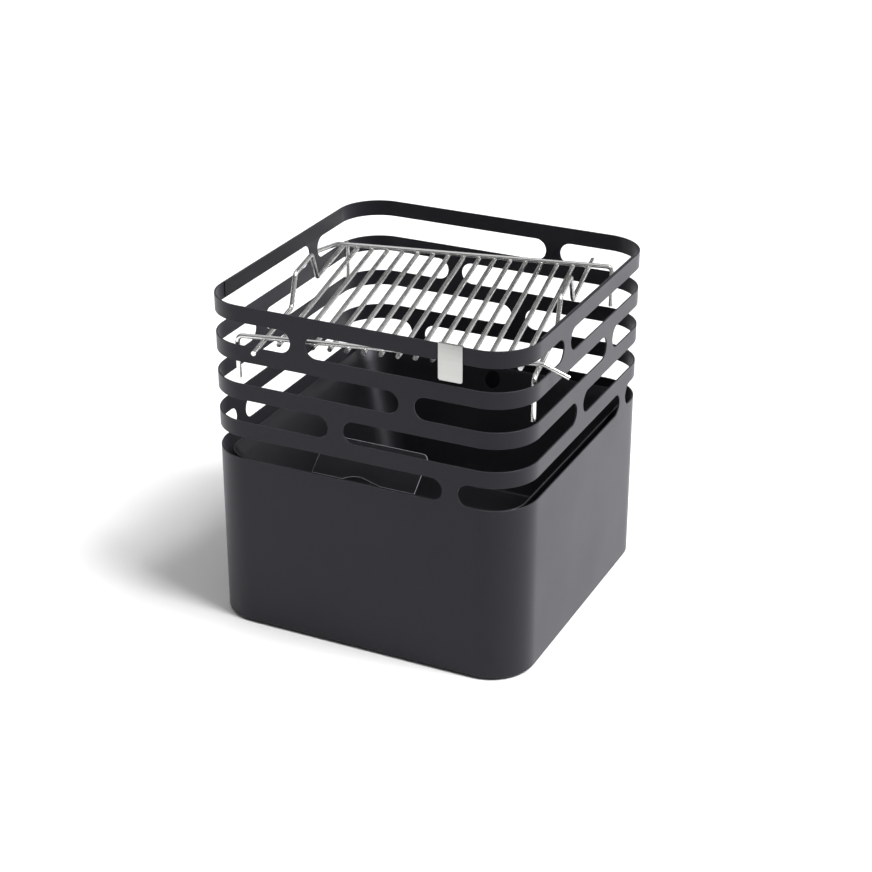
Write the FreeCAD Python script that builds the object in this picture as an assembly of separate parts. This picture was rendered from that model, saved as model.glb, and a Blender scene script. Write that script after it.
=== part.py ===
"""Fire pit with grate: a square slotted basket, a lift-out fire bowl and a hook-in wire grate.

Frame: millimetres, +Z up, origin on the ground at the centre of the basket.
X runs along the front face to the right, Y runs from the front to the back.
"""
import FreeCAD
import Part
import math
import os

from FreeCAD import Vector

UP = Vector(0, 0, 1)

# ---------------------------------------------------------------- driving dimensions
# Basket shell: one rounded-square tube of sheet steel.
basket_width = 420.0          # outside, both ways
corner_radius = 56.0          # outside radius of the four corners
shell_sheet = 2.0             # sheet thickness
foot_height = 4.0             # the feet lift the shell off the ground
shell_height = 426.0          # from the shell's lower edge to its rim

# Slots: four rows above a plain lower wall, each slot running round a corner.
row_pitch = 50.0              # from one row to the next
slot_height = 29.0            # slot ends are full half circles of this diameter
web_width = 20.0              # the narrowest width of the sheet between two slots
web_tip_trim = 1.5            # the last sliver of each web's flare, left to the bands
web_positions = (-74.5, 66.5, -27.0, 122.0)   # along each face, top row first

# Base plate and feet.
base_sheet = 2.0
foot_radius = 15.0
foot_inset = 45.0             # foot centre, in from the outside of the shell
screw_radius = 2.5
screw_grip = 2.5              # how deep the screw goes into the foot
screw_head_radius = 5.0
screw_head_height = 2.6
drain_radius = 20.0           # one hole in the middle of the base plate

# Strips that stiffen the rim on the left and right faces, and the hanging tag.
strip_sheet = 2.0
strip_length = 300.0
strip_depth = 20.0
strip_proud = 1.0             # how far the strip stands above the rim
tag_sheet = 1.0
tag_width = 30.5
tag_drop = 45.5               # outer leg, from the top of its fold
tag_inner_leg = 14.0
tag_position = 122.5          # centre, along the front face
tag_corner = 3.0

# Fire bowl: a tapered square pan that stands on four brackets.
bowl_sheet = 1.5
bowl_rim_half = 195.5         # half width outside at the rim
bowl_rim_radius = 40.0
bowl_rim_height = 222.5       # above the ground
bowl_depth = 150.0
bowl_taper = 0.462            # inward run for each unit of depth
bowl_floor_radius = 30.0
bowl_hole_radius = 11.0       # lifting hole in the back wall
bowl_hole_drop = 16.5         # hole centre below the rim
bowl_drain_radius = 4.0
bowl_drain_reach = 85.0       # from the centre, along both diagonals
tab_width = 138.0             # grip tab on the front rim
tab_length = 53.5             # along its slope
tab_angle = 38.7              # degrees above the horizontal
tab_corner = 9.0
tab_cut_left = 27.0           # shallow notch in the tab's lower edge, from the middle
tab_cut_right = 24.0
tab_cut_peak = 4.0            # its highest point, left of the middle
tab_cut_height = 6.5

# Bowl brackets on the shell's inner faces.
bracket_sheet = 3.0
bracket_width = 50.0
bracket_reach = 98.0
bracket_drop = 40.0
running_gap = 0.3             # between parts that move past each other

# Grate: welded round wire, turned in the basket so that its four ends hook into the top row.
grate_turn = 11.8             # degrees anticlockwise from above
grate_half = 166.0            # centre of the frame wires from the middle
frame_wire = 6.0              # diameter
bar_wire = 6.0                # diameter
bar_count = 15
bar_overhang = 4.0            # past the centre of the cross rods
weld_bite = 0.2               # how far crossing wires are pressed into each other
hook_reach = 36.0             # straight end past the frame's corner
hook_drop = 14.0              # fall of the cross rods' hooked ends
hook_start = 5.0              # from the corner crossing to the bend
edge_leg_reach = 27.0         # from the corner crossing to the leg
rod_leg_reach = 31.5
leg_length = 54.0             # below the wire that carries it
wire_bend = 7.0               # centre-line radius of the bends
grip_foot_half = 55.0         # half length of the raised grip at its feet
grip_top_half = 34.0
grip_rise = 38.0

# ---------------------------------------------------------------- derived heights
half_width = basket_width / 2
inner_half = half_width - shell_sheet
inner_radius = corner_radius - shell_sheet
rim_height = foot_height + shell_height
band_height = row_pitch - slot_height
lower_wall_top = rim_height - 4 * row_pitch
top_slot_floor = rim_height - row_pitch
edge_wire_height = top_slot_floor + frame_wire / 2 + running_gap
cross_rod_height = edge_wire_height + frame_wire - weld_bite
bar_height = cross_rod_height - frame_wire / 2 - bar_wire / 2 + weld_bite
bowl_floor_height = bowl_rim_height - bowl_depth
bowl_floor_half = bowl_rim_half - bowl_taper * bowl_depth


# ---------------------------------------------------------------- small helpers
def export(name, shape):
    """Write one named piece."""
    shape.exportStep(os.path.join("parts", name + ".step"))


def turned(shape, degrees):
    """A copy turned about the basket's upright axis."""
    copy = shape.copy()
    copy.rotate(Vector(0, 0, 0), UP, degrees)
    return copy


def rounded_square(half, radius, height):
    """Closed outline of a square with round corners, lying level at a height."""
    flat = half - radius
    slant = half - radius + radius * math.sqrt(0.5)
    corners = []
    for quarter in range(4):
        spin = FreeCAD.Rotation(UP, 90 * quarter)
        start = spin.multVec(Vector(-flat, -half, height))
        end = spin.multVec(Vector(flat, -half, height))
        middle = spin.multVec(Vector(slant, -slant, height))
        after = spin.multVec(Vector(half, -flat, height))
        corners.append(Part.LineSegment(start, end).toShape())
        corners.append(Part.Arc(end, middle, after).toShape())
    return Part.Wire(corners)


def square_plate(half, radius, bottom, top):
    """Solid slab with a rounded-square outline."""
    return Part.Face(rounded_square(half, radius, bottom)).extrude(Vector(0, 0, top - bottom))


def square_ring(bottom, top):
    """One stretch of the shell's wall, all the way round."""
    outside = square_plate(half_width, corner_radius, bottom, top)
    inside = square_plate(inner_half, inner_radius, bottom - 1, top + 1)
    return outside.cut(inside)


def box(low, high):
    """Solid box between two corners."""
    size = high.sub(low)
    return Part.makeBox(size.x, size.y, size.z, low)


def outline_solid(edges, direction):
    """Solid swept straight from a flat closed outline."""
    return Part.Face(Part.Wire(edges)).extrude(direction)


def bent_path(points, radius):
    """Wire of straight runs joined by tangent arcs of one radius."""
    edges = []
    start = points[0]
    for before, corner, after in zip(points, points[1:], points[2:]):
        into = (before - corner).normalize()
        out = (after - corner).normalize()
        half_angle = into.getAngle(out) / 2
        setback = radius / math.tan(half_angle)
        arc_start = corner + into * setback
        arc_end = corner + out * setback
        bisector = (into + out).normalize()
        centre = corner + bisector * (radius / math.sin(half_angle))
        arc_middle = centre - bisector * radius
        edges.append(Part.LineSegment(start, arc_start).toShape())
        edges.append(Part.Arc(arc_start, arc_middle, arc_end).toShape())
        start = arc_end
    edges.append(Part.LineSegment(start, points[-1]).toShape())
    return Part.Wire(edges)


def round_wire(points, diameter, radius):
    """Bent round wire along a path."""
    path = bent_path(points, radius)
    direction = points[1] - points[0]
    profile = Part.Wire(Part.makeCircle(diameter / 2, points[0], direction))
    return path.makePipeShell([profile], True, False)


# ---------------------------------------------------------------- basket shell
def slot_floor(row):
    """Height of the lower edge of a slot row, counted from the top."""
    return rim_height - (row + 1) * row_pitch


def web(row):
    """The waisted piece of sheet between two slots, on the front face."""
    centre = web_positions[row]
    bottom = slot_floor(row)
    middle = bottom + slot_height / 2
    top = bottom + slot_height
    end_radius = slot_height / 2
    waist = web_width / 2
    flare = waist + end_radius - web_tip_trim
    lift = end_radius - math.sqrt(end_radius ** 2 - web_tip_trim ** 2)

    def at(x, z):
        return Vector(centre + x, -half_width, z)

    corners = [at(-flare, bottom), at(flare, bottom), at(flare, bottom + lift),
               at(flare, top - lift), at(flare, top), at(-flare, top),
               at(-flare, top - lift), at(-flare, bottom + lift)]
    edges = [
        Part.LineSegment(corners[0], corners[1]).toShape(),
        Part.LineSegment(corners[1], corners[2]).toShape(),
        Part.Arc(corners[2], at(waist, middle), corners[3]).toShape(),
        Part.LineSegment(corners[3], corners[4]).toShape(),
        Part.LineSegment(corners[4], corners[5]).toShape(),
        Part.LineSegment(corners[5], corners[6]).toShape(),
        Part.Arc(corners[6], at(-waist, middle), corners[7]).toShape(),
        Part.LineSegment(corners[7], corners[0]).toShape(),
    ]
    return outline_solid(edges, Vector(0, shell_sheet, 0))


def build_shell():
    """Lower wall, the four bands above it and the webs between them."""
    export("shell_lower_wall", square_ring(foot_height, lower_wall_top))
    band_names = ("shell_rim_band", "shell_band_high", "shell_band_middle", "shell_band_low")
    for row, name in enumerate(band_names):
        top = rim_height - row * row_pitch
        export(name, square_ring(top - band_height, top))
    for row in range(4):
        webs = [turned(web(row), 90 * face) for face in range(4)]
        export("shell_webs_row_%d" % (row + 1), Part.makeCompound(webs))


def build_rim_strips():
    """Flat strips that back the rim band on the left and right faces."""
    for name, side in (("rim_strip_left", -1), ("rim_strip_right", 1)):
        near = side * inner_half
        far = side * (inner_half - strip_sheet)
        top = rim_height + strip_proud
        low = Vector(min(near, far), -strip_length / 2, top - strip_depth)
        high = Vector(max(near, far), strip_length / 2, top)
        export(name, box(low, high))


def build_tag():
    """Plain metal tag folded over the front rim."""
    left = tag_position - tag_width / 2
    right = tag_position + tag_width / 2
    top = rim_height + tag_sheet
    outer = box(Vector(left, -half_width - tag_sheet, top - tag_drop),
                Vector(right, -half_width, top))
    lower_edges = [edge for edge in outer.Edges
                   if edge.BoundBox.ZMax < top - tag_drop + 1 and edge.BoundBox.XLength < 0.1]
    outer = outer.makeFillet(tag_corner, lower_edges)
    fold = box(Vector(left, -half_width, rim_height),
               Vector(right, -inner_half + tag_sheet, top))
    inner = box(Vector(left, -inner_half, top - tag_inner_leg),
                Vector(right, -inner_half + tag_sheet, rim_height))
    export("rim_tag", outer.fuse([fold, inner]).removeSplitter())


# ---------------------------------------------------------------- base
def foot_places():
    """Centre of each foot with its name."""
    reach = half_width - foot_inset
    return (("foot_front_left", -reach, -reach), ("foot_front_right", reach, -reach),
            ("foot_back_right", reach, reach), ("foot_back_left", -reach, reach))


def build_base():
    """Base plate with a drain hole, four feet and their screws."""
    plate_top = foot_height + base_sheet
    plate = square_plate(inner_half, inner_radius, foot_height, plate_top)
    plate = plate.cut(Part.makeCylinder(drain_radius, 2 * plate_top))
    screws = []
    for name, x, y in foot_places():
        plate = plate.cut(Part.makeCylinder(screw_radius, 3 * base_sheet, Vector(x, y, 0)))
        foot = Part.makeCylinder(foot_radius, foot_height, Vector(x, y, 0))
        rim = [edge for edge in foot.Edges if edge.BoundBox.ZMax < 0.1]
        foot = foot.makeFillet(1.0, rim)
        pocket = Part.makeCylinder(screw_radius, screw_grip + 1, Vector(x, y, foot_height - screw_grip))
        export(name, foot.cut(pocket))
        shank = Part.makeCylinder(screw_radius, screw_grip + base_sheet,
                                  Vector(x, y, foot_height - screw_grip))
        head = Part.makeCylinder(screw_head_radius, screw_head_height, Vector(x, y, plate_top))
        crown = [edge for edge in head.Edges if edge.BoundBox.ZMin > plate_top + 1]
        screws.append(shank.fuse(head.makeFillet(1.2, crown)).removeSplitter())
    export("base_plate", plate)
    export("foot_screws", Part.makeCompound(screws))


# ---------------------------------------------------------------- fire bowl
def bowl_loft(inset, floor_lift, overshoot):
    """Tapered body of the bowl, drawn in by an inset all round."""
    rim = rounded_square(bowl_rim_half - inset + bowl_taper * overshoot, bowl_rim_radius - inset,
                         bowl_rim_height + overshoot)
    floor = rounded_square(bowl_floor_half - inset + bowl_taper * floor_lift,
                           bowl_floor_radius - inset, bowl_floor_height + floor_lift)
    return Part.makeLoft([floor, rim], True, True)


def wall_zone():
    """Wedge of space that holds the flat part of the bowl's front wall."""
    floor_flat = bowl_floor_half - bowl_floor_radius
    rim_flat = bowl_rim_half - bowl_rim_radius
    corners = [
        Vector(-floor_flat, -bowl_rim_half - 5, bowl_floor_height),
        Vector(floor_flat, -bowl_rim_half - 5, bowl_floor_height),
        Vector(rim_flat, -bowl_rim_half - 5, bowl_rim_height),
        Vector(-rim_flat, -bowl_rim_half - 5, bowl_rim_height),
    ]
    outline = Part.makePolygon(corners + corners[:1])
    return Part.Face(outline).extrude(Vector(0, bowl_rim_half - floor_flat, 0))


def build_bowl():
    """Open tapered pan: floor, four flat walls, four round corners and a lifting hole."""
    wall_inset = bowl_sheet * math.hypot(1, bowl_taper)
    pan = bowl_loft(0, 0, 0).cut(bowl_loft(wall_inset, bowl_sheet, 5))
    hole_height = bowl_rim_height - bowl_hole_drop
    hole_start = Vector(0, bowl_rim_half - 40, hole_height)
    pan = pan.cut(Part.makeCylinder(bowl_hole_radius, 60, hole_start, Vector(0, 1, 0)))
    for sx in (-1, 1):
        for sy in (-1, 1):
            place = Vector(sx * bowl_drain_reach, sy * bowl_drain_reach, bowl_floor_height - 5)
            pan = pan.cut(Part.makeCylinder(bowl_drain_radius, 20, place))
    reach = bowl_rim_half + 5
    floor_zone = box(Vector(-reach, -reach, 0), Vector(reach, reach, bowl_floor_height + bowl_sheet))
    export("bowl_floor", pan.common(floor_zone))
    walls = pan.cut(floor_zone)
    corners = walls
    for quarter, side in enumerate(("front", "right", "back", "left")):
        zone = turned(wall_zone(), 90 * quarter)
        export("bowl_wall_" + side, walls.common(zone))
        corners = corners.cut(zone)
    for corner in corners.Solids:
        centre = corner.CenterOfMass
        depth = "front" if centre.y < 0 else "back"
        side = "left" if centre.x < 0 else "right"
        export("bowl_corner_%s_%s" % (depth, side), corner)


def build_tab():
    """Grip tab that rises inwards from the bowl's front rim."""
    half = tab_width / 2
    shoulder = (tab_cut_left + tab_cut_peak) / 2 + 2.0
    diagonal = tab_corner * (1 - math.sqrt(0.5))

    def at(x, run):
        return Vector(x, run, 0)

    edges = [
        Part.LineSegment(at(-half, 0), at(-tab_cut_left, 0)).toShape(),
        Part.Arc(at(-tab_cut_left, 0), at(-shoulder, 0.7 * tab_cut_height),
                 at(-tab_cut_peak, tab_cut_height)).toShape(),
        Part.LineSegment(at(-tab_cut_peak, tab_cut_height), at(tab_cut_right, 0)).toShape(),
        Part.LineSegment(at(tab_cut_right, 0), at(half, 0)).toShape(),
        Part.LineSegment(at(half, 0), at(half, tab_length - tab_corner)).toShape(),
        Part.Arc(at(half, tab_length - tab_corner), at(half - diagonal, tab_length - diagonal),
                 at(half - tab_corner, tab_length)).toShape(),
        Part.LineSegment(at(half - tab_corner, tab_length),
                         at(-half + tab_corner, tab_length)).toShape(),
        Part.Arc(at(-half + tab_corner, tab_length), at(-half + diagonal, tab_length - diagonal),
                 at(-half, tab_length - tab_corner)).toShape(),
        Part.LineSegment(at(-half, tab_length - tab_corner), at(-half, 0)).toShape(),
    ]
    tab = outline_solid(edges, Vector(0, 0, bowl_sheet))
    tab.rotate(Vector(0, 0, 0), Vector(1, 0, 0), tab_angle)
    tab.translate(Vector(0, -bowl_rim_half + bowl_sheet, bowl_rim_height))
    export("bowl_grip_tab", tab)


def build_brackets():
    """Four bent brackets on the shell's inner faces that carry the bowl's floor."""
    shelf_top = bowl_floor_height - running_gap
    half = bracket_width / 2
    shelf = box(Vector(-half, -inner_half, shelf_top - bracket_sheet),
                Vector(half, -inner_half + bracket_reach, shelf_top))
    leg = box(Vector(-half, -inner_half, shelf_top - bracket_drop),
              Vector(half, -inner_half + bracket_sheet, shelf_top - bracket_sheet))
    bracket = shelf.fuse(leg).removeSplitter()
    for quarter, side in enumerate(("front", "right", "back", "left")):
        export("bowl_bracket_" + side, turned(bracket, 90 * quarter))


# ---------------------------------------------------------------- grate
def build_edge_wires():
    """Left and right frame wires: hooked end, raised grip and guide leg in one bent wire."""
    x = -grate_half
    z = edge_wire_height
    end = grate_half + edge_leg_reach
    points = [
        Vector(x, -grate_half - hook_reach, z),
        Vector(x, -grip_foot_half, z),
        Vector(x, -grip_top_half, z + grip_rise),
        Vector(x, grip_top_half, z + grip_rise),
        Vector(x, grip_foot_half, z),
        Vector(x, end, z),
        Vector(x, end, z - leg_length),
    ]
    wire = round_wire(points, frame_wire, wire_bend)
    export("grate_edge_wire_left", turned(wire, grate_turn))
    export("grate_edge_wire_right", turned(wire, grate_turn + 180))


def build_cross_rods():
    """Front and back cross rods: guide leg at one end, downward hook at the other."""
    y = -grate_half
    z = cross_rod_height
    start = -grate_half - rod_leg_reach
    points = [
        Vector(start, y, z - leg_length),
        Vector(start, y, z),
        Vector(grate_half + hook_start, y, z),
        Vector(grate_half + hook_reach, y, z - hook_drop),
    ]
    rod = round_wire(points, frame_wire, wire_bend)
    export("grate_cross_rod_front", turned(rod, grate_turn))
    export("grate_cross_rod_back", turned(rod, grate_turn + 180))


def build_bars():
    """Straight bars welded under the cross rods."""
    spacing = 2 * grate_half / (bar_count + 1)
    length = 2 * (grate_half + bar_overhang)
    for index in range(bar_count):
        x = -grate_half + (index + 1) * spacing
        start = Vector(x, -length / 2, bar_height)
        bar = Part.makeCylinder(bar_wire / 2, length, start, Vector(0, 1, 0))
        export("grate_bar_%02d" % (index + 1), turned(bar, grate_turn))


os.makedirs("parts", exist_ok=True)
build_shell()
build_rim_strips()
build_tag()
build_base()
build_bowl()
build_tab()
build_brackets()
build_edge_wires()
build_cross_rods()
build_bars()
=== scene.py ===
import math
import random

import bmesh
import bpy
from mathutils import Matrix, Vector


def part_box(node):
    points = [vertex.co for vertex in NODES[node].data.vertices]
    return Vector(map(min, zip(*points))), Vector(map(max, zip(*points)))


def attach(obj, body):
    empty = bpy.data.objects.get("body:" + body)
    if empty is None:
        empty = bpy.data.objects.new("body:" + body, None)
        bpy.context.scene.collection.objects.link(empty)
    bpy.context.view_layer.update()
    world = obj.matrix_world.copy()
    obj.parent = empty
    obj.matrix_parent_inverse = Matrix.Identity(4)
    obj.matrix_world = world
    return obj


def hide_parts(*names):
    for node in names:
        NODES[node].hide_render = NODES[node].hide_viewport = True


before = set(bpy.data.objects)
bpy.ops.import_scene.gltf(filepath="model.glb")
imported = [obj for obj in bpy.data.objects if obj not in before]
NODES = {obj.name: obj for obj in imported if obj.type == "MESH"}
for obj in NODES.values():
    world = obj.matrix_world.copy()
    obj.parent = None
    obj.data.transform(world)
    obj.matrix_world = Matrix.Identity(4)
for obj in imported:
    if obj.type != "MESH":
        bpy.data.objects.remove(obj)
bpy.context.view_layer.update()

SIDES = ("front", "right", "back", "left")
random.seed(7)

# ---------------------------------------------------------------- sizes, in metres
SHEET = 0.002                 # shell sheet
CORNER = 0.056                # outside corner radius of the shell
WEB_WAIST = 0.020             # narrowest width of a web
SLOT_ROWS = 4                 # numbered from the top
SHELL_EDGE = 0.00045          # rounding of the shell's cut edges
BOWL_SHEET = 0.0015
BOWL_EDGE = 0.0004
BOWL_TAPER = 0.462            # how far the floor's edge leans out for each unit of height
BOWL_RIM_CORNER = 0.040
BOWL_FLOOR_CORNER = 0.030
BOWL_FILLET = 0.006           # bend between the bowl's floor and its wall
HOLE_RADIUS = 0.011
HOLE_DROP = 0.0165            # below the bowl's rim
DRAIN_RADIUS = 0.004
DRAIN_REACH = 0.085
GRATE_TURN = math.radians(11.8)
GRATE_HALF = 0.166
GRATE_BARS = 15
WIRE_RADIUS = 0.003
BAR_BEAD = 0.0029             # weld bead on a bar
CORNER_BEAD = 0.0036          # weld bead where an edge wire crosses a rod
BEAD_SHIFT = 0.0003           # how unevenly the beads lie

# ---------------------------------------------------------------- mesh steps
FLAT_STEPS = 40               # columns along a flat face of the shell
CORNER_STEPS = 24             # columns round a corner of the shell
SLOT_END_STEPS = 8            # columns in the round end of a slot
SOLID_STEPS = (0, 1, 3, 5, 7, 9)   # levels with sheet above them; a slot is above the others
SAME = 1e-7                   # closer than this is the same place
SEAM = 1e-5                   # closer than this to a full lap is the start again
COLUMN_GAP = 1e-4             # columns no closer than this
SLOT_END_GAP = 2e-4           # no other column this close to the tip of a slot

# ---------------------------------------------------------------- noise scales
PEEL = 1400                   # orange peel of the powder coat
GRAIN = 4200                  # fine texture on the orange peel
SPECKS = 2600                 # dust specks in the coat
COAT_CLOUD = 9                # broad unevenness of the coat
FINE_LINES = 1900             # drawing lines on the steel
WIDE_LINES = 420
STEEL_CLOUD = 38
SCUFFS = 300
LINE_STRETCH = 0.004          # scale along the drawing lines, against 1 across them

# ---------------------------------------------------------------- camera
CAMERA_RIGHT = (0.90251, 0.43067, 0.0)            # the camera's own axes, in the scene
CAMERA_UP = (-0.18541, 0.38855, 0.90258)
CAMERA_BACK = (0.38871, -0.81459, 0.43052)
CAMERA_PLACE = (0.9827, -2.0502, 1.2865)
CAMERA_LENS = 81.36           # millimetres, on a sensor 36 wide


# ---------------------------------------------------------------- node helpers
def new_material(name):
    """An empty principled material: its node tree, its shader."""
    material = bpy.data.materials.new(name)
    material.use_nodes = True
    tree = material.node_tree
    return material, tree, tree.nodes["Principled BSDF"]


def add(tree, kind, **values):
    """Adds a node and sets the sockets or properties given by name."""
    node = tree.nodes.new(kind)
    for key, value in values.items():
        socket = key.replace("_", " ")
        if socket in node.inputs:
            node.inputs[socket].default_value = value
        else:
            setattr(node, key, value)
    return node


def tune(shader, **values):
    """Sets values that are the same all over on the shader's own sockets."""
    for key, value in values.items():
        shader.inputs[key.replace("_", " ")].default_value = value


def place(tree, scale, turn=0.0):
    """Object-space coordinates, turned about Z and stretched."""
    coords = add(tree, "ShaderNodeTexCoord")
    turned = add(tree, "ShaderNodeMapping", Rotation=(0, 0, -turn))
    stretched = add(tree, "ShaderNodeMapping", Scale=scale)
    tree.links.new(coords.outputs["Object"], turned.inputs["Vector"])
    tree.links.new(turned.outputs["Vector"], stretched.inputs["Vector"])
    return stretched.outputs["Vector"]


def noise(tree, vector, scale, detail=4.0, roughness=0.55):
    """Noise value in 0..1."""
    node = add(tree, "ShaderNodeTexNoise", Scale=scale, Detail=detail, Roughness=roughness)
    tree.links.new(vector, node.inputs["Vector"])
    return node.outputs["Fac"]


def spread(tree, value, low, high, start=0.3, end=0.7):
    """Maps the values from start to end onto low to high."""
    node = add(tree, "ShaderNodeMapRange", From_Min=start, From_Max=end, To_Min=low, To_Max=high)
    tree.links.new(value, node.inputs["Value"])
    return node.outputs["Result"]


def total(tree, first, second):
    """Adds two values."""
    node = add(tree, "ShaderNodeMath", operation="ADD")
    tree.links.new(first, node.inputs[0])
    tree.links.new(second, node.inputs[1])
    return node.outputs[0]


def blend_colours(tree, value, first, second):
    """Blends by a 0..1 value from first to second, each a colour or a node's output."""
    node = add(tree, "ShaderNodeMix", data_type="RGBA")
    sockets = [socket for socket in node.inputs if socket.type == "RGBA"]
    for socket, colour in zip(sockets, (first, second)):
        if isinstance(colour, tuple):
            socket.default_value = (*colour, 1)
        else:
            tree.links.new(colour, socket)
    tree.links.new(value, node.inputs["Factor"])
    return [socket for socket in node.outputs if socket.type == "RGBA"][0]


def bump(tree, shader, layers):
    """Chains bump layers: (height value, strength, distance)."""
    before = None
    for height, strength, distance in layers:
        node = add(tree, "ShaderNodeBump", Strength=strength, Distance=distance)
        tree.links.new(height, node.inputs["Height"])
        if before is not None:
            tree.links.new(before, node.inputs["Normal"])
        before = node.outputs["Normal"]
    tree.links.new(before, shader.inputs["Normal"])


# ---------------------------------------------------------------- materials
def powder_coat(name, dark, light, rough_low, rough_high, sheen=0.0, gloss=0.20):
    """Matt powder coat: fine orange peel, faint cloudiness, dust specks."""
    material, tree, shader = new_material(name)
    even = place(tree, (1, 1, 1))
    peel = noise(tree, even, PEEL, 2.0)
    grain = noise(tree, even, GRAIN, 2.0)
    cloud = noise(tree, even, COAT_CLOUD, 5.0)
    specks = spread(tree, noise(tree, even, SPECKS, 1.0), 0, 1, 0.70, 0.78)
    speck_colour = tuple(2.2 * channel for channel in light)
    coat = blend_colours(tree, spread(tree, cloud, 0, 1), dark, light)
    speckled = blend_colours(tree, specks, coat, speck_colour)
    tree.links.new(speckled, shader.inputs["Base Color"])
    clouded = spread(tree, cloud, rough_low, rough_high)
    rough = total(tree, clouded, spread(tree, grain, -0.04, 0.04))
    tree.links.new(rough, shader.inputs["Roughness"])
    tune(shader, Specular_IOR_Level=gloss, Specular_Tint=(0.90, 0.89, 1.0, 1))
    tune(shader, Sheen_Weight=sheen, Sheen_Roughness=0.45, Sheen_Tint=(0.90, 0.89, 1.0, 1))
    bump(tree, shader, [(peel, 0.22, 0.00010), (grain, 0.16, 0.00005)])
    return material


def drawn_steel(name, along, base, dull, rough_low, rough_high, turn=GRATE_TURN):
    """Bright drawn or brushed steel with fine lines running one way."""
    material, tree, shader = new_material(name)
    scale = [LINE_STRETCH if axis == along else 1 for axis in "xyz"]
    stretched = place(tree, scale, turn)
    lines = noise(tree, stretched, FINE_LINES, 3.0)
    wide_lines = noise(tree, stretched, WIDE_LINES, 3.0)
    cloud = noise(tree, place(tree, (1, 1, 1)), STEEL_CLOUD, 5.0)
    colour = blend_colours(tree, spread(tree, wide_lines, 0, 1), dull, base)
    tree.links.new(colour, shader.inputs["Base Color"])
    clouded = spread(tree, cloud, rough_low, rough_high)
    rough = total(tree, clouded, spread(tree, lines, -0.02, 0.03))
    tree.links.new(rough, shader.inputs["Roughness"])
    tune(shader, Metallic=1.0, Specular_Tint=(0.60, 0.60, 0.60, 1))
    bump(tree, shader, [(lines, 0.03, 0.00002)])
    return material


def moulded_foot():
    """Moulded foot: dark, dull, slightly scuffed."""
    material, tree, shader = new_material("moulded foot")
    scuff = noise(tree, place(tree, (1, 1, 1)), SCUFFS, 6.0)
    colour = blend_colours(tree, spread(tree, scuff, 0, 1), (0.008, 0.008, 0.009), (0.022, 0.022, 0.022))
    tree.links.new(colour, shader.inputs["Base Color"])
    tree.links.new(spread(tree, scuff, 0.62, 0.85), shader.inputs["Roughness"])
    bump(tree, shader, [(scuff, 0.3, 0.0002)])
    return material


WIRE_BRIGHT = (0.79, 0.79, 0.78)
WIRE_DULL = (0.73, 0.73, 0.72)
COAT = powder_coat("shell powder coat", (0.0080, 0.0077, 0.0100), (0.0112, 0.0107, 0.0136), 0.38, 0.46, 0.18)
BOWL_DARK = (0.0030, 0.0030, 0.0036)
BOWL_LIGHT = (0.0062, 0.0062, 0.0072)
BOWL_COAT = powder_coat("bowl heat-proof coat", BOWL_DARK, BOWL_LIGHT, 0.33, 0.44, gloss=0.30)
STRIP_COAT = powder_coat("rim strip coat", (0.011, 0.011, 0.013), (0.016, 0.016, 0.019), 0.38, 0.48)
ROD_STEEL = drawn_steel("cross rod steel", "x", WIRE_BRIGHT, WIRE_DULL, 0.25, 0.28)
WIRE_STEEL = drawn_steel("grate wire steel", "y", WIRE_BRIGHT, WIRE_DULL, 0.25, 0.28)
TAG_STEEL = drawn_steel("tag steel", "x", (0.50, 0.50, 0.485), (0.475, 0.475, 0.462), 0.30, 0.36, 0.0)
SCREW_STEEL = drawn_steel("screw steel", "z", (0.50, 0.50, 0.51), (0.38, 0.38, 0.40), 0.30, 0.42, 0.0)
WELD_STEEL = drawn_steel("weld steel", "z", (0.60, 0.58, 0.55), (0.36, 0.33, 0.32), 0.30, 0.45, 0.0)
# Lighter coats for the rounded edges of the shell, its trim and the bowl: painted highlights along the
# edges.
COAT_EDGE_HIGHLIGHT = powder_coat("shell edge painted highlight", (0.020, 0.0195, 0.0235), (0.034, 0.033, 0.038), 0.34, 0.44)
PAN_EDGE_HIGHLIGHT = powder_coat("bowl edge painted highlight", (0.022, 0.022, 0.025), (0.050, 0.050, 0.056), 0.32, 0.44)
# Light coat on the grip tab's rounded edges: a painted highlight where the edges would catch the light.
TAB_EDGE_HIGHLIGHT = powder_coat("tab edge painted highlight", (0.22, 0.22, 0.25), (0.36, 0.36, 0.40), 0.28, 0.40)
FOOT = moulded_foot()


# ---------------------------------------------------------------- mesh helpers
def show(name, mesh):
    """Puts a mesh into the scene as a new object in the shared frame."""
    obj = bpy.data.objects.new(name, mesh)
    bpy.context.scene.collection.objects.link(obj)
    return obj


def make_object(name, vertices, faces):
    """New mesh object from its points and faces."""
    mesh = bpy.data.meshes.new(name)
    mesh.from_pydata(vertices, [], faces)
    mesh.validate()
    return show(name, mesh)


def smooth(obj):
    """Smooth shading with sharp folds, unless the rounded edges already set it."""
    if obj.data.attributes.get("custom_normal"):
        return
    obj.data.shade_smooth()
    obj.data.set_sharp_from_angle(angle=math.radians(32))


def paint(obj, material, edge=None):
    """Gives an object its material, and a second one for its rounded edges; on coated pieces that second one
    is a lighter coat, a painted highlight.
    """
    obj.data.materials.clear()
    obj.data.materials.append(material)
    if edge is not None:
        obj.data.materials.append(edge)


def bake_modifiers(obj):
    """Turns the modifiers' result into the object's own mesh."""
    bpy.context.view_layer.update()
    graph = bpy.context.evaluated_depsgraph_get()
    mesh = bpy.data.meshes.new_from_object(obj.evaluated_get(graph))
    obj.modifiers.clear()
    obj.data = mesh


def thicken(obj, thickness):
    """Gives a surface its sheet thickness, inwards."""
    solid = obj.modifiers.new("sheet", "SOLIDIFY")
    solid.thickness = thickness
    solid.offset = -1
    solid.use_even_offset = True


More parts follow.
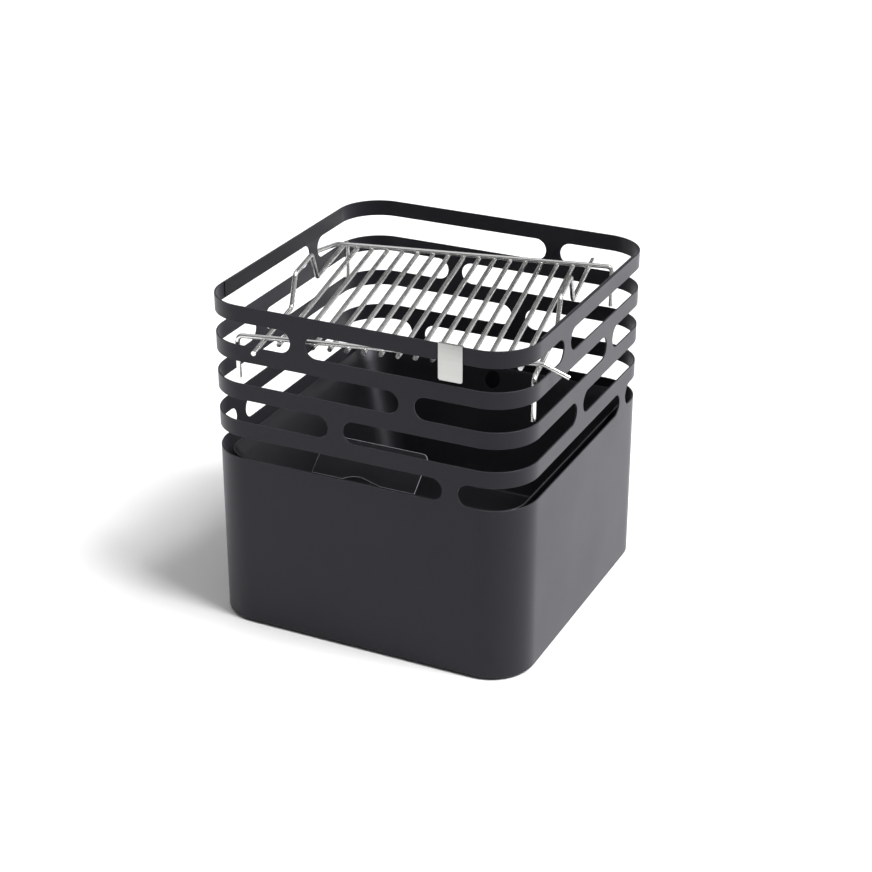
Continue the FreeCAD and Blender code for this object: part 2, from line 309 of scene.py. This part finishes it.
def soften(obj, width, angle=40, flat_faces=False):
    """Rounds the sheet's cut edges a little, so that they catch the light."""
    rounding = obj.modifiers.new("edges", "BEVEL")
    rounding.width = width
    rounding.segments = 2
    rounding.limit_method = "ANGLE"
    rounding.angle_limit = math.radians(angle)
    # the rounded edges take the object's second material, on coated pieces a lighter coat as a painted
    # highlight
    rounding.material = 1
    rounding.harden_normals = flat_faces
    if flat_faces:
        obj.data.shade_smooth()


def merge_flat_faces(mesh):
    """Joins the triangles of each flat face, so that only real edges are left to round."""
    work = bmesh.new()
    work.from_mesh(mesh)
    bmesh.ops.remove_doubles(work, verts=work.verts, dist=1e-6)
    bmesh.ops.dissolve_limit(work, angle_limit=math.radians(0.5), verts=work.verts, edges=work.edges)
    work.to_mesh(mesh)
    work.free()


def dressed_copy(node, name, material, edge, body, width):
    """Copy of a CAD piece with its cut edges rounded, shown in its place."""
    obj = show(name, NODES[node].data.copy())
    merge_flat_faces(obj.data)
    paint(obj, material, edge)
    soften(obj, width)
    bake_modifiers(obj)
    smooth(obj)
    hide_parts(node)
    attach(obj, body)


# ---------------------------------------------------------------- shell
def around(distance, half, corner):
    """Point on the rounded square at a distance travelled from the front face's left end."""
    flat = 2 * (half - corner)
    quarter_length = flat + math.pi * corner / 2
    quarter = int(distance // quarter_length) % 4
    along = distance % quarter_length
    if along <= flat:
        point = Vector((along - flat / 2, -half, 0))
    else:
        angle = (along - flat) / corner
        point = Vector((flat / 2 + corner * math.sin(angle), -flat / 2 - corner * math.cos(angle), 0))
    return Matrix.Rotation(quarter * math.pi / 2, 3, "Z") @ point


def web_place(node, half):
    """Middle, along X, of the web that a row of webs has on the front face."""
    front_limit = 1.5 * SHEET - half
    places = [v.co.x for v in NODES[node].data.vertices if v.co.y < front_limit]
    places = [x for x in places if abs(x) < half - SHEET]
    return (min(places) + max(places)) / 2


def shell_rows(half, flat, quarter_length):
    """For each slot row: its middle height, its radius and its four slots' starts and ends."""
    rows = []
    for row in range(1, SLOT_ROWS + 1):
        node = "shell_webs_row_%d" % row
        low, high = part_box(node)
        web = flat / 2 + web_place(node, half)
        starts = [web + WEB_WAIST / 2 + k * quarter_length for k in range(4)]
        ends = [web - WEB_WAIST / 2 + (k + 1) * quarter_length for k in range(4)]
        rows.append(((low.z + high.z) / 2, (high.z - low.z) / 2, list(zip(starts, ends))))
    return rows


def slot_opening(radius, slots, distance, full_length):
    """Half height of a row's slot at a distance round the basket, and 0 on a web."""
    for start, end in slots:
        for lap in (0.0, full_length):
            near = min(distance + lap - start, end - distance - lap)
            if near >= radius:
                return radius
            if near > SAME:
                return math.sqrt(radius ** 2 - (radius - near) ** 2)
    return 0.0


def face_stops(flat, quarter_length):
    """Evenly spaced distances along the four faces and round the four corners."""
    stops = set()
    for quarter in range(4):
        start = quarter * quarter_length
        stops.update(start + flat * k / FLAT_STEPS for k in range(FLAT_STEPS + 1))
        bend = quarter_length - flat
        stops.update(start + flat + bend * k / CORNER_STEPS for k in range(CORNER_STEPS + 1))
    return stops


def slot_stops(rows, full_length):
    """Distances through the round ends of every slot."""
    stops = set()
    for middle, radius, slots in rows:
        for start, end in slots:
            for k in range(SLOT_END_STEPS + 1):
                reach = radius * (1 - math.cos(math.radians(90 * k / SLOT_END_STEPS)))
                stops.add((start + reach) % full_length)
                stops.add((end - reach) % full_length)
    return stops


def column_stops(rows, flat, quarter_length):
    """Distances round the basket where the sheet has a column of points."""
    full_length = 4 * quarter_length
    tips = {tip % full_length for middle, radius, slots in rows for slot in slots for tip in slot}
    kept = []
    for stop in sorted(face_stops(flat, quarter_length) | slot_stops(rows, full_length)):
        if full_length - stop < SEAM:
            continue
        if any(abs(stop - tip) < SLOT_END_GAP and stop != tip for tip in tips):
            continue
        if not kept or stop - kept[-1] > COLUMN_GAP:
            kept.append(stop)
    return kept


def column_heights(rows, stop, low, top, full_length):
    """Heights of one column's points: the lower wall, both edges of each slot, and the rim."""
    lowest_middle, lowest_radius = rows[-1][:2]
    heights = [low, (low + lowest_middle - lowest_radius) / 2]
    for middle, radius, slots in reversed(rows):
        gap = slot_opening(radius, slots, stop, full_length)
        heights.extend([middle - gap, middle + gap])
    heights.append(top)
    return heights


def build_shell():
    """The shell as one sheet: columns round the basket, with the slots left open."""
    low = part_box("shell_lower_wall")[0].z
    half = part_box("shell_lower_wall")[1].x
    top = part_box("shell_rim_band")[1].z
    flat = 2 * (half - CORNER)
    quarter_length = flat + math.pi * CORNER / 2
    rows = shell_rows(half, flat, quarter_length)
    vertices = []
    columns = []
    for stop in column_stops(rows, flat, quarter_length):
        spot = around(stop, half, CORNER)
        column = []
        for height in column_heights(rows, stop, low, top, 4 * quarter_length):
            if column and abs(vertices[column[-1]][2] - height) < SAME:
                column.append(column[-1])
                continue
            column.append(len(vertices))
            vertices.append((spot.x, spot.y, height))
        columns.append(column)
    faces = []
    for here, there in zip(columns, columns[1:] + columns[:1]):
        for step in SOLID_STEPS:
            corners = [here[step], there[step], there[step + 1], here[step + 1]]
            faces.append(list(dict.fromkeys(corners)))
    shell = make_object("shell_sheet", vertices, faces)
    paint(shell, COAT, COAT_EDGE_HIGHLIGHT)
    thicken(shell, SHEET)
    soften(shell, SHELL_EDGE, flat_faces=True)
    bake_modifiers(shell)
    smooth(shell)
    names = ["shell_lower_wall", "shell_rim_band", "shell_band_high", "shell_band_middle", "shell_band_low"]
    names += ["shell_webs_row_%d" % row for row in range(1, SLOT_ROWS + 1)]
    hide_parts(*names)
    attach(shell, "shell")


# ---------------------------------------------------------------- bowl
def ring(half, corner, height, steps=16):
    """Points of a level rounded square."""
    points = []
    flat = half - corner
    for quarter in range(4):
        turn = Matrix.Rotation(quarter * math.pi / 2, 3, "Z")
        for k in range(steps + 1):
            angle = math.pi / 2 * k / steps
            spot = Vector((flat + corner * math.sin(angle), -flat - corner * math.cos(angle), height))
            points.append(tuple(turn @ spot))
    return points


def drill(obj, radius, centre, axis, length):
    """Cuts a round hole."""
    bpy.ops.mesh.primitive_cylinder_add(vertices=40, radius=radius, depth=length, location=centre)
    cutter = bpy.context.object
    if axis == "Y":
        cutter.rotation_euler = (math.pi / 2, 0, 0)
    cut = obj.modifiers.new("hole", "BOOLEAN")
    cut.operation = "DIFFERENCE"
    cut.solver = "EXACT"
    cut.object = cutter
    bake_modifiers(obj)
    bpy.data.objects.remove(cutter)


def bowl_levels(floor_z, floor_half, rim_z, rim_half, bend_steps=5, wall_steps=8):
    """Half width and height of each ring of the bowl, from its floor round the bend to its rim."""
    taper = (rim_half - floor_half) / (rim_z - floor_z)
    slope = math.atan2(1, taper)
    setback = BOWL_FILLET * math.tan(slope / 2)
    levels = []
    for k in range(bend_steps + 1):
        angle = slope * k / bend_steps
        inward = floor_half - setback + BOWL_FILLET * math.sin(angle)
        levels.append((inward, floor_z + BOWL_FILLET * (1 - math.cos(angle))))
    bend_top = levels[-1][1]
    for k in range(1, wall_steps + 1):
        height = bend_top + (rim_z - bend_top) * k / wall_steps
        levels.append((floor_half + taper * (height - floor_z), height))
    return levels


def build_bowl():
    """The bowl as one pressed pan with a small radius round its floor."""
    floor_low, floor_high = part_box("bowl_floor")
    rim_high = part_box("bowl_wall_back")[1]
    floor_z = floor_low.z
    rim_z = rim_high.z
    rim_half = rim_high.y
    floor_half = floor_high.y - BOWL_TAPER * (floor_high.z - floor_low.z)
    vertices = []
    rings = []
    for half, height in bowl_levels(floor_z, floor_half, rim_z, rim_half):
        share = min(1, max(0, (height - floor_z) / (rim_z - floor_z)))
        corner = BOWL_FLOOR_CORNER + (BOWL_RIM_CORNER - BOWL_FLOOR_CORNER) * share
        loop = ring(half, corner, height)
        rings.append(list(range(len(vertices), len(vertices) + len(loop))))
        vertices.extend(loop)
    faces = [list(reversed(rings[0]))]
    for lower, upper in zip(rings, rings[1:]):
        for k in range(len(lower)):
            after = (k + 1) % len(lower)
            faces.append([lower[k], lower[after], upper[after], upper[k]])
    bowl = make_object("bowl_pan", vertices, faces)
    paint(bowl, BOWL_COAT, PAN_EDGE_HIGHLIGHT)
    thicken(bowl, BOWL_SHEET)
    soften(bowl, BOWL_EDGE, angle=60)
    bake_modifiers(bowl)
    drill(bowl, HOLE_RADIUS, (0, rim_half - 0.01, rim_z - HOLE_DROP), "Y", 0.05)
    for sx in (-1, 1):
        for sy in (-1, 1):
            drill(bowl, DRAIN_RADIUS, (sx * DRAIN_REACH, sy * DRAIN_REACH, floor_z), "Z", 0.02)
    smooth(bowl)
    names = ["bowl_floor"] + ["bowl_wall_" + side for side in SIDES]
    names += ["bowl_corner_%s_%s" % (end, side) for end in ("front", "back") for side in ("left", "right")]
    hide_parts(*names)
    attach(bowl, "fire_bowl")


# ---------------------------------------------------------------- grate
def grate_point(along, across, z):
    """Point given along the rods and along the bars of the turned grate."""
    return Matrix.Rotation(GRATE_TURN, 3, "Z") @ Vector((along, across, z))


def weld_spots():
    """Where the wires cross, and each bead's size."""
    spots = []
    for side in (-1, 1):
        for k in range(1, GRATE_BARS + 1):
            spots.append((-GRATE_HALF + k * 2 * GRATE_HALF / (GRATE_BARS + 1), side * GRATE_HALF, BAR_BEAD))
        for end in (-1, 1):
            spots.append((end * GRATE_HALF, side * GRATE_HALF, CORNER_BEAD))
    return spots


def build_welds():
    """Small uneven weld beads where the grate's wires cross."""
    rod_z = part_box("grate_cross_rod_front")[1].z - WIRE_RADIUS
    beads = bmesh.new()
    for along, across, size in weld_spots():
        shift = [random.uniform(-BEAD_SHIFT, BEAD_SHIFT) for _ in range(2)]
        centre = grate_point(along + shift[0], across + shift[1], rod_z - WIRE_RADIUS + 0.0002)
        grown = size * random.uniform(0.94, 1.08)
        shape = Matrix.Translation(centre) @ Matrix.Rotation(GRATE_TURN, 4, "Z")
        shape = shape @ Matrix.Diagonal((grown, grown * 0.95, size * 0.42, 1))
        bmesh.ops.create_icosphere(beads, subdivisions=3, radius=1.0, matrix=shape)
    mesh = bpy.data.meshes.new("grate_welds")
    beads.to_mesh(mesh)
    beads.free()
    welds = show("grate_welds", mesh)
    paint(welds, WELD_STEEL)
    smooth(welds)
    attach(welds, "grate")


def paint_grate():
    """Finish for the grate's wires, with the drawing lines running along each wire."""
    for name, node in NODES.items():
        if name.startswith("grate_"):
            paint(node, ROD_STEEL if name.startswith("grate_cross_rod") else WIRE_STEEL)
            node.data.shade_smooth()
            node.data.set_sharp_from_angle(angle=math.radians(40))


# ---------------------------------------------------------------- the rest of the basket
def build_trim():
    """Tab, tag, strips, brackets, base, screws and feet."""
    # The tab's rounded edges take a light coat, a painted highlight.
    dressed_copy("bowl_grip_tab", "grip_tab", BOWL_COAT, TAB_EDGE_HIGHLIGHT, "fire_bowl", 0.0006)
    dressed_copy("rim_tag", "hanging_tag", TAG_STEEL, TAG_STEEL, "shell", 0.0003)
    for side in ("left", "right"):
        node = "rim_strip_" + side
        dressed_copy(node, "strip_" + side, STRIP_COAT, COAT_EDGE_HIGHLIGHT, "shell", 0.0004)
    for side in SIDES:
        node = "bowl_bracket_" + side
        dressed_copy(node, "bracket_" + side, COAT, COAT_EDGE_HIGHLIGHT, "shell", 0.0005)
    dressed_copy("base_plate", "base_sheet", COAT, COAT_EDGE_HIGHLIGHT, "shell", 0.0004)
    dressed_copy("foot_screws", "screws", SCREW_STEEL, SCREW_STEEL, "shell", 0.0002)
    for node in [name for name in NODES if name.startswith("foot_") and name != "foot_screws"]:
        dressed_copy(node, node + "_pad", FOOT, FOOT, "shell", 0.0003)


# ---------------------------------------------------------------- studio
def build_floor():
    """Wide pale floor."""
    bpy.ops.mesh.primitive_plane_add(size=120)
    floor = bpy.context.object
    floor.name = "floor"
    material, tree, shader = new_material("studio floor")
    tune(shader, Base_Color=(0.86, 0.86, 0.86, 1), Roughness=0.8, Specular_IOR_Level=0.2)
    floor.data.materials.append(material)


def add_light(name, data, towards, location=(0, 0, 0)):
    """Puts a lamp in the scene, shining from the direction given towards the basket."""
    light = bpy.data.objects.new(name, data)
    light.location = location
    light.rotation_euler = Vector(towards).to_track_quat("Z", "Y").to_euler()
    bpy.context.scene.collection.objects.link(light)


def build_lights():
    """A soft key from the right, a wide top light, a softbox behind and a faint sky."""
    suns = (
        ("key light", (0.60, 0.0, 0.80), 26, 4.7),
        ("top light", (-0.10, 0.15, 1.0), 100, 1.15),
    )
    for name, towards, angle, power in suns:
        data = bpy.data.lights.new(name, "SUN")
        data.angle = math.radians(angle)
        data.energy = power
        add_light(name, data, towards)
    data = bpy.data.lights.new("back softbox", "AREA")
    data.shape = "RECTANGLE"
    data.size = 2.6
    data.size_y = 1.3
    data.energy = 24
    add_light("back softbox", data, (2.0, 2.9, 0.65), (2.0, 2.9, 0.85))
    world = bpy.data.worlds.new("studio")
    world.use_nodes = True
    background = world.node_tree.nodes["Background"]
    background.inputs["Color"].default_value = (1, 1, 1, 1)
    background.inputs["Strength"].default_value = 0.14
    bpy.context.scene.world = world


def build_camera():
    """The camera, at the viewing angle the basket is shown from."""
    data = bpy.data.cameras.new("camera")
    data.lens = CAMERA_LENS
    data.sensor_width = 36
    camera = bpy.data.objects.new("camera", data)
    bpy.context.scene.collection.objects.link(camera)
    turn = Matrix((CAMERA_RIGHT, CAMERA_UP, CAMERA_BACK)).transposed().to_4x4()
    camera.matrix_world = Matrix.Translation(CAMERA_PLACE) @ turn
    bpy.context.scene.camera = camera


build_shell()
build_bowl()
build_trim()
paint_grate()
build_welds()
build_floor()
build_lights()
build_camera()
bpy.context.scene.view_settings.view_transform = "Standard"
